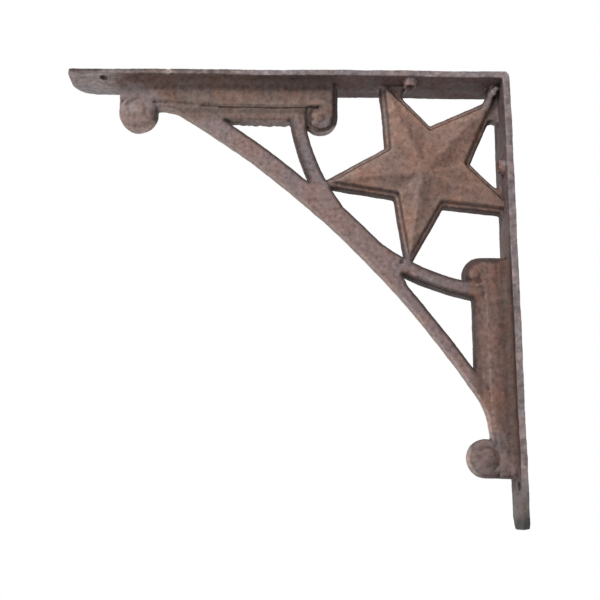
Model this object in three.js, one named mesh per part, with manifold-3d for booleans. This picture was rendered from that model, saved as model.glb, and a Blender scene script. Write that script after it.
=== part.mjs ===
// Openwork cast iron shelf bracket: a shelf flange and a wall flange joined by a web with a
// five-pointed star, a curved rib, two short braces and two scroll-ended panels.
// Millimetres, +Z up. The wall flange's outer face lies on the plane x = 0 and the shelf
// flange reaches out to -X. The origin is on the wall face, midway between its screw holes.
import * as THREE from 'three';
import { mergeVertices } from 'three/addons/utils/BufferGeometryUtils.js';
import Module from 'manifold-3d';

const wasm = await Module();
wasm.setup();

// Driving dimensions of the two flanges. Each is thickest along its middle, and thins from
// the bracket's outer corner to its free end. The near edge is the one the star faces.
const flangeWidth = 26;
const shelfFlange = {
  length: 240,
  cornerThickness: { near: 4, middle: 5.5, far: 5 },
  endThickness: { near: 2.7, middle: 4.4, far: 3.6 },
  farCornerRadius: 13,
  outerScrewInset: 19,
};
const wallFlange = {
  length: 242,
  cornerThickness: { near: 3.9, middle: 5.2, far: 4.4 },
  endThickness: { near: 3.4, middle: 3.9, far: 2.4 },
  farCornerRadius: 8,
  outerScrewInset: 21,
};
const nearCornerRadius = 2;
const outerCornerRound = 3;

// Screw holes, two in each flange, in front of the web. The inner one is measured from the
// bracket's outer corner, and has a collar. The outer one is measured from the free end.
const innerScrewDistance = 53.5;
const screwHoleRadius = 2.2;
const screwAcross = -8;
const collarRadius = 3.5;
const collarFootRadius = 4.3;
const collarHeight = 2.4;

// The openwork is mirrored about a diagonal that starts this far below the outer corner.
const patternDrop = 6;

// Half thicknesses of the web's members, measured from the middle of the flange's width.
const webHalf = 3.5;
const braceHalf = 4.6;
const ribHalf = 4.9;
const lowerBandHalf = 4.4;
const bandHalf = 5.8;
const backBandHalf = 4.9;

// Curved rib: arcs about one far centre, widest between the two braces.
const ribCentre = 450;
const ribOuterRadius = 512.3;
const ribWidthShelfSide = 9.4;
const ribWidthMiddle = 11.7;
const ribWidthWallSide = 5.9;
const ribReach = THREE.MathUtils.degToRad(14.3);
const ribMiddleReach = THREE.MathUtils.degToRad(2.7);
const ribBlend = THREE.MathUtils.degToRad(1.6);

// Braces, from a panel to the rib.
const braceWidth = 8.2;
const braceRootAlong = 114.5;
const braceRootAway = 21.5;
const braceRootTilt = THREE.MathUtils.degToRad(10);
const braceBendRadius = 120;
const braceLength = 54;

// Panels under the shelf flange and beside the wall flange. Depths are measured from the
// panel's own line, which lies further from the corner on the wall arm than on the shelf arm.
const shelfPanel = {
  lineShift: -1.5,
  innerEnd: 93,
  lobeDepth: 18.4,
  bandDepth: 14.3,
  grooveMiddle: 13.9,
  grooveCut: 1.9,
  grooveStart: 103.3,
  innerCurlTurn: [THREE.MathUtils.degToRad(-90), THREE.MathUtils.degToRad(30)],
  lowerBandDepth: 21.5,
  lowerBandEnd: 158,
  scrollAlong: 202.3,
  scrollRadius: 10.6,
  ribFilletRadius: 16,
};
const wallPanel = {
  lineShift: 1.5,
  innerEnd: 96.6,
  lobeDepth: 16.6,
  bandDepth: 13.9,
  grooveMiddle: 15.3,
  grooveCut: 1.2,
  grooveStart: 114,
  innerCurlTurn: [THREE.MathUtils.degToRad(-60), THREE.MathUtils.degToRad(50)],
  lowerBandDepth: 21,
  lowerBandEnd: 161,
  scrollAlong: 201.5,
  scrollRadius: 9.9,
  ribFilletRadius: 34,
};
const lobeRadius = 9.3;
const lowerBandTaper = 12;
const scrollDepth = 16.4;
const ledge = 2.3;
const bandLedge = 0.6;
const scrollLedge = 0.4;
const grooveWidth = 1.4;
const curlCut = 0.8;
const curlWidth = 2.2;
const outerCurlRadius = 6.2;
const outerCurlTightening = 1.4;
const outerCurlTurn = [THREE.MathUtils.degToRad(335), THREE.MathUtils.degToRad(130)];
const eyeRadius = 3.9;
const eyeHeight = 1.2;
const innerEyeRadius = 2.7;
const innerEyeHeight = 1.4;
const innerEyeAlong = 1;
const innerEyeDepth = 20.2;
const innerCurlRadius = 3.4;
const frontFilletRadius = 4.8;
const backFilletRadius = 3;

// Star. The casting's star isn't quite regular, so its tips and notches each have their own
// direction in degrees, going round from the tip that points at the bracket's outer corner.
const starAlong = 45.6;
const starAway = 46.3;
const starApexAlong = 47.6;
const starApexAway = 49.8;
const starTipRadius = 59.5;
const starNotchRadius = 24.3;
const starTipDirections = [225.2, 294.8, 10.1, 79.3, 152.6];
const starNotchDirections = [262.3, 332.4, 45.1, 112.7, 184.6];
const starWallHeight = 2.2;
const starWallSlope = 1.2;
const starApexRise = 6.4;
const starRidgePower = 0.85;
const starValleyPower = 1.9;
const starBackRise = 1.1;
const starBackApexRise = 2.6;

// Ridge that runs on from the star's tip to the shelf flange at the outer corner, from one
// point (along, away) of the openwork to another.
const tipRidgeStart = [12.3, 13];
const tipRidgeEnd = [6.9, -2];
const tipRidgeHalfWidth = 2.2;
const tipRidgeHeight = 2.4;

// Rounded inner corners of the openwork, and the web left solid at the outer corner.
const shelfArmFilletRadius = 5;
const wallArmFilletRadius = 2.4;
const tipFilletRadius = 2.6;
const shelfCornerFilletRadius = 2.4;
const wallCornerFilletRadius = 3;
const cornerWebReach = 12;

// Softened edges of the web's members, and how far joined members run into each other.
const edgeBevel = { wide: 0.7, deep: 1.1, steps: 2 };
const smallBevel = { wide: 0.6, deep: 0.7, steps: 2 };
const roundBevel = { wide: 1.7, deep: 1.5, steps: 3 };
const scrollBevel = { wide: 3.4, deep: 1.9, steps: 4 };
const overlap = 2;
const fillSink = 0.2;

// Corners nearer than this are one corner.
const mergeDistance = 0.0001;

// Triangles lower than this are taken out of the finished mesh.
const sliverHeight = 0.003;
const sliverPasses = 6;

// How finely curves are cut into straight steps.
const ribSteps = 32;
const braceSteps = 10;
const lobeSteps = 11;
const scrollSteps = 18;
const discSteps = 28;
const curlSteps = 16;
const facetRows = 4;
const filletSteps = 5;
const cornerFillSteps = 6;
const nearCornerSteps = 3;
const farCornerSteps = 9;
const outerRoundSteps = 5;
const domeSteps = 4;
const domeSides = 16;
const holeSides = 16;
const collarSides = 20;

const cornerHeight = (innerScrewDistance + wallFlange.length - wallFlange.outerScrewInset) / 2;
const halfWidth = flangeWidth / 2;
const longest = Math.max(shelfFlange.length, wallFlange.length);
const quarter = Math.PI / 2;
const half = Math.PI;

// Frames. Each arm's own coordinates are (along, across, away): along the arm from the
// outer corner, across the flange from its middle, and away from the flange's outer face.
function frame(alongAxis, awayAxis, origin) {
  const across = new THREE.Vector3(0, 1, 0);
  return new THREE.Matrix4().makeBasis(alongAxis, across, awayAxis).setPosition(origin);
}
const outwards = new THREE.Vector3(-1, 0, 0);
const downwards = new THREE.Vector3(0, 0, -1);
const corner = new THREE.Vector3(0, 0, cornerHeight);
const patternCorner = new THREE.Vector3(0, 0, cornerHeight - patternDrop);
const shelfArm = frame(outwards, downwards, corner);
const wallArm = frame(downwards, outwards, corner);
const shelfPattern = frame(outwards, downwards, patternCorner);
const wallPattern = frame(downwards, outwards, patternCorner);

// A closed geometry becomes a solid with its faces pointing out, in the given frame.
function solid(geometry, matrix) {
  const bare = geometry.clone();
  bare.deleteAttribute('normal');
  bare.deleteAttribute('uv');
  const merged = mergeVertices(bare, mergeDistance);
  merged.applyMatrix4(matrix);
  const points = merged.attributes.position.array;
  const triangles = Uint32Array.from(merged.index.array);
  let sixVolumes = 0;
  const a = new THREE.Vector3();
  const b = new THREE.Vector3();
  const c = new THREE.Vector3();
  for (let i = 0; i < triangles.length; i += 3) {
    a.fromArray(points, 3 * triangles[i]);
    b.fromArray(points, 3 * triangles[i + 1]);
    c.fromArray(points, 3 * triangles[i + 2]);
    sixVolumes += a.dot(b.cross(c));
  }
  if (sixVolumes < 0) {
    for (let i = 0; i < triangles.length; i += 3) {
      const swapped = triangles[i + 1];
      triangles[i + 1] = triangles[i + 2];
      triangles[i + 2] = swapped;
    }
  }
  const vertices = Float32Array.from(points);
  return new wasm.Manifold(new wasm.Mesh({ numProp: 3, vertProperties: vertices, triVerts: triangles }));
}

function joined(solids) {
  return solids.reduce((whole, piece) => whole.add(piece));
}

// Points of an arc in a plane, from one angle to another.
function arc(centreX, centreY, radius, fromAngle, toAngle, steps) {
  const points = [];
  for (let i = 0; i <= steps; i += 1) {
    const angle = fromAngle + (toAngle - fromAngle) * i / steps;
    points.push([centreX + radius * Math.cos(angle), centreY + radius * Math.sin(angle)]);
  }
  return points;
}

function circle(centreX, centreY, radius, steps) {
  return arc(centreX, centreY, radius, 0, 2 * half * (steps - 1) / steps, steps - 1);
}

function shapeOf(points) {
  return new THREE.Shape(points.map(([x, y]) => new THREE.Vector2(x, y)));
}

// A flat member: its outline is in (along, away), and it fills from front to back across
// the flange. The bevel narrows it towards both faces.
function plate(outline, front, back, bevel) {
  const soft = bevel !== undefined;
  const deep = soft ? bevel.deep : 0;
  const geometry = new THREE.ExtrudeGeometry(shapeOf(outline), {
    depth: back - front - 2 * deep,
    steps: 1,
    bevelEnabled: soft,
    bevelThickness: deep,
    bevelSize: soft ? bevel.wide : 0,
    bevelOffset: soft ? -bevel.wide : 0,
    bevelSegments: soft ? bevel.steps : 0,
  });
  geometry.rotateX(quarter);
  geometry.translate(0, back - deep, 0);
  return geometry;
}

// A straight piece between two sections of equal point counts. Each section is a convex
// list of (across, away) and stands at its own distance along the arm.
function loft(startSection, start, endSection, end) {
  const count = startSection.length;
  const points = [];
  startSection.forEach(([across, away]) => points.push(start, across, away));
  endSection.forEach(([across, away]) => points.push(end, across, away));
  const index = [];
  for (let i = 0; i < count; i += 1) {
    const next = (i + 1) % count;
    index.push(i, next, count + next, i, count + next, count + i);
  }
  for (let i = 1; i < count - 1; i += 1) {
    index.push(0, i + 1, i, count, count + i, count + i + 1);
  }
  const geometry = new THREE.BufferGeometry();
  geometry.setAttribute('position', new THREE.Float32BufferAttribute(points, 3));
  geometry.setIndex(index);
  return geometry;
}

// A bar with one cross-section, given in (across, away), that runs along an arm.
function bar(profile, start, end) {
  const geometry = new THREE.ExtrudeGeometry(shapeOf(profile), { depth: end - start, bevelEnabled: false });
  const turn = new THREE.Matrix4().makeBasis(
    new THREE.Vector3(0, 1, 0),
    new THREE.Vector3(0, 0, 1),
    new THREE.Vector3(1, 0, 0),
  );
  geometry.applyMatrix4(turn);
  geometry.translate(start, 0, 0);
  return geometry;
}

// A slab with one plan, given in (along, across), between two distances from the outer face.
function slab(plan, from, to) {
  const geometry = new THREE.ExtrudeGeometry(shapeOf(plan), { depth: to - from, bevelEnabled: false });
  geometry.translate(0, 0, from);
  return geometry;
}

// A round post whose axis points away from the flange's outer face.
function post(along, across, [topRadius, footRadius], from, to, sides) {
  const geometry = new THREE.CylinderGeometry(topRadius, footRadius, to - from, sides);
  geometry.rotateX(quarter);
  geometry.translate(along, across, (from + to) / 2);
  return geometry;
}

function flangeSection(thickness) {
  return [
    [-halfWidth, 0],
    [halfWidth, 0],
    [halfWidth, thickness.far],
    [0, thickness.middle],
    [-halfWidth, thickness.near],
  ];
}

// Flange: a flat outer face, and rounded corners at its free end.
function flange(size, arm) {
  const body = loft(flangeSection(size.cornerThickness), 0, flangeSection(size.endThickness), size.length);
  const nearX = size.length - nearCornerRadius;
  const nearY = nearCornerRadius - halfWidth;
  const farX = size.length - size.farCornerRadius;
  const farY = halfWidth - size.farCornerRadius;
  const plan = [
    [-overlap, -halfWidth],
    ...arc(nearX, nearY, nearCornerRadius, -quarter, 0, nearCornerSteps),
    ...arc(farX, farY, size.farCornerRadius, 0, quarter, farCornerSteps),
    [-overlap, halfWidth],
  ];
  return solid(body, arm).intersect(solid(slab(plan, -overlap, size.cornerThickness.middle + overlap), arm));
}

// The outer corner, where the two flanges meet, is rounded a little.
function cornerRoundCutter() {
  const r = outerCornerRound;
  const round = arc(r, r, r, -quarter, -half, outerRoundSteps);
  const outline = [[-overlap, -overlap], [r, -overlap], ...round, [-overlap, r]];
  return solid(plate(outline, -flangeWidth, flangeWidth), shelfArm);
}

function smoothStep(t) {
  const clamped = Math.min(Math.max(t, 0), 1);
  return clamped * clamped * (3 - 2 * clamped);
}

// A point near the rib, at a distance from the rib's centre and an angle from the
// pattern's diagonal, positive towards the shelf arm.
function ribPoint(reach, swing) {
  const angle = half / 4 - swing;
  return [ribCentre - reach * Math.sin(angle), ribCentre - reach * Math.cos(angle)];
}

// Rib: the outer edge is one arc, and the inner edge steps out gently between the braces.
function rib() {
  const steps = ribSteps;
  const outer = [];
  const inner = [];
  for (let i = 0; i <= steps; i += 1) {
    const swing = ribReach * (1 - 2 * i / steps);
    const endWidth = swing > 0 ? ribWidthShelfSide : ribWidthWallSide;
    const blend = smoothStep((Math.abs(swing) - ribMiddleReach) / ribBlend);
    const width = ribWidthMiddle + (endWidth - ribWidthMiddle) * blend;
    outer.push(ribPoint(ribOuterRadius, swing));
    inner.unshift(ribPoint(ribOuterRadius + width, swing));
  }
  return plate([...outer, ...inner], -ribHalf, ribHalf, edgeBevel);
}

// Brace: a band of constant width along a gentle arc that starts inside the panel.
function brace() {
  const steps = braceSteps;
  const start = -overlap - ledge;
  const left = [];
  const right = [];
  for (let i = 0; i <= steps; i += 1) {
    const distance = start + (braceLength - start) * i / steps;
    const turn = braceRootTilt + distance / braceBendRadius;
    const along = braceRootAlong - braceBendRadius * (Math.cos(braceRootTilt) - Math.cos(turn));
    const away = braceRootAway + braceBendRadius * (Math.sin(turn) - Math.sin(braceRootTilt));
    const offset = braceWidth / 2;
    left.push([along + offset * Math.cos(turn), away + offset * Math.sin(turn)]);
    right.unshift([along - offset * Math.cos(turn), away - offset * Math.sin(turn)]);
  }
  return plate([...left, ...right], -braceHalf, braceHalf, edgeBevel);
}

// Panel outline. It begins and ends inside the flange, where the arm's own trim ends it. The
// inner end hangs down in a lobe, and the outer end in a round scroll.
const insideFlange = -patternDrop;

function panelOutline(size, inset) {
  const lobeAlong = size.innerEnd + lobeRadius;
  const lobe = lobeRadius - inset;
  const scroll = size.scrollRadius - inset;
  const bottom = size.lowerBandDepth - inset;
  const lobeStop = Math.asin((bottom - size.lobeDepth) / lobe);
  const notchAngle = half + Math.asin((scrollDepth - size.bandDepth + inset) / scroll);
  return [
    [size.innerEnd + inset, insideFlange],
    ...arc(lobeAlong, size.lobeDepth, lobe, half, lobeStop, lobeSteps),
    [size.lowerBandEnd, bottom],
    [size.lowerBandEnd + lowerBandTaper, size.bandDepth - inset],
    ...arc(size.scrollAlong, scrollDepth, scroll, notchAngle, 0, scrollSteps),
    [size.scrollAlong + scroll, insideFlange],
  ];
}

// Raised upper band: it hangs down into the lobe at one end, and rises over the eye of the
// scroll at the other.
function upperBand(size) {
  const lobeAlong = size.innerEnd + lobeRadius;
  const lobe = lobeRadius - ledge;
  const grooveTop = size.grooveMiddle - grooveWidth / 2;
  const overEye = scrollDepth - outerCurlRadius;
  const outerEnd = size.scrollAlong + size.scrollRadius - scrollLedge;
  return [
    [size.innerEnd + ledge, insideFlange],
    ...arc(lobeAlong, size.lobeDepth, lobe, half, 0, lobeSteps),
    [lobeAlong + lobe, grooveTop],
    [size.lowerBandEnd, grooveTop],
    [size.scrollAlong, overEye],
    [outerEnd, overEye],
    [outerEnd, insideFlange],
  ];
}

// Lower band, a little lower than the upper one. Its upper edge is hidden in the upper band.
function lowerBand(size) {
  const start = size.innerEnd + 2 * lobeRadius - ledge + grooveWidth;
  const end = size.scrollAlong - outerCurlRadius;
  const top = scrollDepth - outerCurlRadius - overlap;
  const bottom = size.lowerBandDepth - bandLedge;
  return [
    [start, top],
    [start, bottom],
    [size.lowerBandEnd, bottom],
    [size.lowerBandEnd + lowerBandTaper, size.bandDepth - bandLedge],
    [end, size.bandDepth - bandLedge],
    [end, top],
  ];
}

// A groove that winds in round an eye of the front, from one radius and angle to another.
function curl([along, away], [startRadius, endRadius], [startAngle, endAngle]) {
  const steps = curlSteps;
  const outerSide = [];
  const innerSide = [];
  for (let i = 0; i <= steps; i += 1) {
    const angle = startAngle + (endAngle - startAngle) * i / steps;
    const radius = startRadius + (endRadius - startRadius) * i / steps;
    const place = (reach) => [along + reach * Math.cos(angle), away + reach * Math.sin(angle)];
    outerSide.push(place(radius + curlWidth / 2));
    innerSide.unshift(place(radius - curlWidth / 2));
  }
  return plate([...outerSide, ...innerSide], -bandHalf - overlap, -bandHalf + curlCut);
}

// Grooves of the front: one between the two bands, and one that winds in round each eye.
function grooves(size, innerEye, outerEye, place) {
  const top = size.grooveMiddle - grooveWidth / 2;
  const bottom = size.grooveMiddle + grooveWidth / 2;
  const end = size.lowerBandEnd;
  const start = size.grooveStart;
  const straight = [[start, top], [start, bottom], [end, bottom], [end, top]];
  const innerCurlRadii = [innerEyeDepth - size.grooveMiddle, innerCurlRadius];
  const outerCurlRadii = [outerCurlRadius, outerCurlRadius - outerCurlTightening];
  return joined([
    solid(plate(straight, -bandHalf - overlap, -bandHalf + size.grooveCut), place),
    solid(curl(innerEye, innerCurlRadii, size.innerCurlTurn), place),
    solid(curl(outerEye, outerCurlRadii, outerCurlTurn), place),
  ]);
}

// Eye: a low dome on the raised face.
function eye([along, away], radius, height) {
  const steps = domeSteps;
  const profile = [new THREE.Vector2(0, -overlap), new THREE.Vector2(radius, -overlap)];
  for (let i = 0; i <= steps; i += 1) {
    const turn = quarter * i / steps;
    profile.push(new THREE.Vector2(i === steps ? 0 : radius * Math.cos(turn), height * Math.sin(turn)));
  }
  const geometry = new THREE.LatheGeometry(profile, domeSides);
  geometry.rotateX(half);
  geometry.translate(along, -bandHalf, away);
  return geometry;
}

// Thickness of a flange at a distance along the arm, and across from its middle.
function flangeThickness(size, along, across) {
  const { cornerThickness, endThickness } = size;
  const share = along / size.length;
  const thicknessOf = (line) => cornerThickness[line] + (endThickness[line] - cornerThickness[line]) * share;
  const middle = thicknessOf('middle');
  const side = thicknessOf(across < 0 ? 'near' : 'far');
  return middle + (side - middle) * Math.abs(across) / halfWidth;
}

// Fillet strip in the corner between a face of the panel and the flange. It starts flush with
// the flange, where the flange is thinnest along the panel.
function filletStrip(faceAcross, radius, size, flangeSize, flangeFace) {
  const side = Math.sign(faceAcross);
  const inside = faceAcross - side * overlap;
  const centreAcross = faceAcross + side * radius;
  const outerEnd = size.scrollAlong + size.scrollRadius - ledge;
  const flangeDepth = flangeFace - size.lineShift + flangeThickness(flangeSize, outerEnd, centreAcross);
  const facePoint = side > 0 ? -half : 0;
  const profile = [
    [inside, flangeDepth - overlap],
    [centreAcross, flangeDepth - overlap],
    ...arc(centreAcross, flangeDepth + radius, radius, -quarter, facePoint, filletSteps),
    [inside, flangeDepth + radius],
  ];
  return bar(profile, size.innerEnd + ledge, outerEnd);
}

function panel(size, flangeSize, pattern, flangeFace) {
  const place = pattern.clone().multiply(new THREE.Matrix4().makeTranslation(0, 0, size.lineShift));
  const innerEye = [size.innerEnd + lobeRadius + innerEyeAlong, innerEyeDepth];
  const outerEye = [size.scrollAlong, scrollDepth];
  const scrollDisc = circle(...outerEye, size.scrollRadius - scrollLedge, discSteps);
  const raised = joined([
    solid(plate(upperBand(size), -bandHalf, 0, smallBevel), place),
    solid(plate(lowerBand(size), -lowerBandHalf, 0, smallBevel), place),
    solid(plate(scrollDisc, -bandHalf, 0, scrollBevel), place),
    solid(filletStrip(-bandHalf, frontFilletRadius, size, flangeSize, flangeFace), place),
  ]).subtract(grooves(size, innerEye, outerEye, place));
  return joined([
    solid(plate(panelOutline(size, 0), -webHalf, webHalf, edgeBevel), place),
    solid(plate(panelOutline(size, ledge), 0, backBandHalf, smallBevel), place),
    solid(filletStrip(backBandHalf, backFilletRadius, size, flangeSize, flangeFace), place),
    raised,
    solid(eye(outerEye, eyeRadius, eyeHeight), place),
    solid(eye(innerEye, innerEyeRadius, innerEyeHeight), place),
  ]);
}

// The rib's outer edge runs into the panel's lower edge in a wide arc.
function ribFillet(size) {
  const depth = size.bandDepth + size.lineShift;
  const swing = half / 4 - Math.acos((ribCentre - depth) / ribOuterRadius);
  const meeting = ribPoint(ribOuterRadius, swing);
  const alongRib = [meeting, ribPoint(ribOuterRadius, swing - ribBlend)];
  const alongBand = [meeting, [size.scrollAlong, depth]];
  return cornerFill(alongRib, alongBand, size.ribFilletRadius, braceHalf);
}

// The star's points in turn: even numbers are tips and odd numbers are notches.
function starPoint(number, scale) {
  const isTip = number % 2 === 0;
  const directions = isTip ? starTipDirections : starNotchDirections;
  const angle = THREE.MathUtils.degToRad(directions[Math.floor(number / 2)]);
  const radius = scale * (isTip ? starTipRadius : starNotchRadius);
  return [starAlong + radius * Math.cos(angle), starAway + radius * Math.sin(angle)];
}

function starOutline() {
  return Array.from({ length: 10 }, (_, number) => starPoint(number, 1));
}

// Raised star body: a flat ledge is left round it, and its facets fall from five ridges. The
// facets are hollow: they fall fast beside the ridges, and run out flat at the star's edge.
function raisedStar() {
  const inwards = starNotchRadius * Math.sin(half / 5);
  const along = starTipRadius - starNotchRadius * Math.cos(half / 5);
  const edgeDistance = starTipRadius * inwards / Math.hypot(inwards, along);
  const foot = (edgeDistance - ledge) / edgeDistance;
  const brow = (edgeDistance - ledge - starWallSlope) / edgeDistance;
  const browAcross = -webHalf - starWallHeight;
  const apex = new THREE.Vector3(starApexAlong, -webHalf - starApexRise, starApexAway);
  const backApex = new THREE.Vector3(starAlong, webHalf + starBackApexRise, starAway);
  const rings = [[brow, browAcross], [foot, -webHalf], [foot, webHalf], [brow, webHalf + starBackRise]];
  const corners = [];
  const triangle = (a, b, c) => corners.push(...a.toArray(), ...b.toArray(), ...c.toArray());
  for (let side = 0; side < 10; side += 1) {
    const edge = (scale, across, share) => {
      const [fromX, fromY] = starPoint(side, scale);
      const [toX, toY] = starPoint((side + 1) % 10, scale);
      const from = new THREE.Vector3(fromX, across, fromY);
      return from.lerp(new THREE.Vector3(toX, across, toY), share);
    };
    const facet = (row, step) => {
      const share = row === 0 ? 0 : step / row;
      const towardsNotch = side % 2 === 0 ? share : 1 - share;
      const power = starRidgePower + (starValleyPower - starRidgePower) * towardsNotch;
      const point = edge(brow, browAcross, share).lerp(apex, 1 - row / facetRows);
      point.y = browAcross + (apex.y - browAcross) * (1 - row / facetRows) ** power;
      return point;
    };
    for (let step = 0; step < facetRows; step += 1) {
      for (let row = step + 1; row <= facetRows; row += 1) {
        triangle(facet(row, step), facet(row, step + 1), facet(row - 1, step));
        if (step + 1 < row) {
          triangle(facet(row, step + 1), facet(row - 1, step + 1), facet(row - 1, step));
        }
      }
      const [start, end] = [step / facetRows, (step + 1) / facetRows];
      for (let ring = 1; ring < rings.length; ring += 1) {
        const [a, b] = [edge(...rings[ring - 1], start), edge(...rings[ring - 1], end)];
        const [c, d] = [edge(...rings[ring], start), edge(...rings[ring], end)];
        triangle(a, c, d);
        triangle(a, d, b);
      }
      triangle(edge(...rings.at(-1), end), edge(...rings.at(-1), start), backApex);
    }
  }
  const geometry = new THREE.BufferGeometry();
  geometry.setAttribute('position', new THREE.Float32BufferAttribute(corners, 3));
  return geometry;
}

// A rounded ridge between the star's tip and the shelf flange.
function tipRidge() {
  const start = new THREE.Vector2(...tipRidgeStart);
  const end = new THREE.Vector2(...tipRidgeEnd);
  const direction = end.clone().sub(start).normalize();
  const sideways = new THREE.Vector2(-direction.y, direction.x).multiplyScalar(tipRidgeHalfWidth);
  const outline = [
    start.clone().add(sideways),
    end.clone().add(sideways),
    end.clone().sub(sideways),
    start.clone().sub(sideways),
  ].map((point) => point.toArray());
  return plate(outline, -webHalf - tipRidgeHeight, 0, roundBevel);
}

// Fills the inner corner between two edges, given as lines through pairs of points that
// lead away from the corner. The fill ends in an arc that touches both edges.
function cornerFill([startA, endA], [startB, endB], radius, reachHalf) {
  const a0 = new THREE.Vector2(...startA);
  const b0 = new THREE.Vector2(...startB);
  const a = new THREE.Vector2(...endA).sub(a0).normalize();
  const b = new THREE.Vector2(...endB).sub(b0).normalize();
  const reach = b0.clone().sub(a0).cross(b) / a.cross(b);
  const meeting = a0.clone().addScaledVector(a, reach);
  const halfAngle = Math.acos(a.dot(b)) / 2;
  const tangent = radius / Math.tan(halfAngle);
  const middle = a.clone().add(b).normalize();
  const centre = meeting.clone().addScaledVector(middle, radius / Math.sin(halfAngle));
  const towardsA = meeting.clone().addScaledVector(a, tangent).sub(centre);
  const towardsB = meeting.clone().addScaledVector(b, tangent).sub(centre);
  const turn = Math.atan2(towardsA.cross(towardsB), towardsA.dot(towardsB));
  const start = Math.atan2(towardsA.y, towardsA.x);
  const outline = arc(centre.x, centre.y, radius, start, start + turn, cornerFillSteps);
  const intoA = centre.clone().addScaledVector(towardsA, 1 + overlap / radius);
  const intoB = centre.clone().addScaledVector(towardsB, 1 + overlap / radius);
  const behind = meeting.clone().addScaledVector(middle, -overlap);
  const closed = [...outline, intoB.toArray(), behind.toArray(), intoA.toArray()];
  return plate(closed, -reachHalf, reachHalf, edgeBevel);
}

// Inner edges of the two flanges, in the pattern's coordinates.
const shelfEdge = shelfFlange.cornerThickness.middle - patternDrop;
const wallEdge = wallFlange.cornerThickness.middle;
const shelfEdgeOut = [[0, shelfEdge], [longest, shelfEdge]];
const shelfEdgeIn = [[longest, shelfEdge], [0, shelfEdge]];
const wallEdgeDown = [[wallEdge, 0], [wallEdge, longest]];
const wallEdgeUp = [[wallEdge, longest], [wallEdge, 0]];

function starEdge(from, to) {
  return [starPoint(from, 1), starPoint(to, 1)];
}

function cornerFills() {
  const innerRadius = ribOuterRadius + ribWidthMiddle;
  const fillHalf = webHalf - fillSink;
  const ribFromShelf = [ribPoint(innerRadius, ribMiddleReach), ribPoint(innerRadius, 0)];
  const ribFromWall = [ribPoint(innerRadius, -ribMiddleReach), ribPoint(innerRadius, 0)];
  return [
    cornerFill(starEdge(2, 1), shelfEdgeIn, shelfArmFilletRadius, fillHalf),
    cornerFill(starEdge(2, 3), shelfEdgeOut, tipFilletRadius, fillHalf),
    cornerFill(starEdge(8, 9), wallEdgeUp, wallArmFilletRadius, fillHalf),
    cornerFill(starEdge(8, 7), wallEdgeDown, tipFilletRadius, fillHalf),
    cornerFill(starEdge(0, 1), shelfEdgeOut, shelfCornerFilletRadius, fillHalf),
    cornerFill(starEdge(0, 9), wallEdgeDown, wallCornerFilletRadius, fillHalf),
    cornerFill(starEdge(4, 5), ribFromShelf, tipFilletRadius, fillHalf),
    cornerFill(starEdge(6, 5), ribFromWall, tipFilletRadius, fillHalf),
  ];
}

// The web is left solid at the outer corner of the bracket.
function cornerWeb() {
  const outline = [
    [0, -patternDrop],
    [cornerWebReach, -patternDrop],
    [cornerWebReach, shelfEdge + overlap],
    [wallEdge + overlap, cornerWebReach],
    [0, cornerWebReach],
  ];
  const reachHalf = webHalf - 2 * fillSink;
  return plate(outline, -reachHalf, reachHalf, smallBevel);
}

// The web's members run on into the flanges, and this block ends them there.
function insideFlanges() {
  const outline = [[overlap, overlap], [longest, overlap], [longest, longest], [overlap, longest]];
  return solid(plate(outline, -halfWidth, halfWidth), shelfArm);
}

function web() {
  return joined([
    solid(rib(), shelfPattern),
    solid(brace(), shelfPattern),
    solid(brace(), wallPattern),
    panel(shelfPanel, shelfFlange, shelfPattern, -patternDrop),
    panel(wallPanel, wallFlange, wallPattern, 0),
    solid(plate(starOutline(), -webHalf, webHalf, edgeBevel), shelfPattern),
    solid(raisedStar(), shelfPattern),
    solid(cornerWeb(), shelfPattern),
    solid(tipRidge(), shelfPattern),
    solid(ribFillet(shelfPanel), shelfPattern),
    solid(ribFillet(wallPanel), wallPattern),
    ...cornerFills().map((fill) => solid(fill, shelfPattern)),
  ]).intersect(insideFlanges());
}

// A collar round the inner screw hole. Its foot spreads where it meets the flange.
function screwCollar(size, arm) {
  const radii = [collarRadius, collarFootRadius];
  const top = size.cornerThickness.middle + collarHeight;
  return solid(post(innerScrewDistance, screwAcross, radii, overlap, top, collarSides), arm);
}

function screwHoles(size, arm) {
  const radii = [screwHoleRadius, screwHoleRadius];
  const past = size.cornerThickness.middle + collarHeight + overlap;
  const places = [innerScrewDistance, size.length - size.outerScrewInset];
  return places.map((along) => {
    return solid(post(along, screwAcross, radii, -overlap, past, holeSides), arm);
  });
}

function casting() {
  const whole = joined([
    flange(shelfFlange, shelfArm),
    flange(wallFlange, wallArm),
    screwCollar(shelfFlange, shelfArm),
    screwCollar(wallFlange, wallArm),
    web(),
  ]);
  return whole.subtract(joined([
    ...screwHoles(shelfFlange, shelfArm),
    ...screwHoles(wallFlange, wallArm),
    cornerRoundCutter(),
  ]));
}

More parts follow.
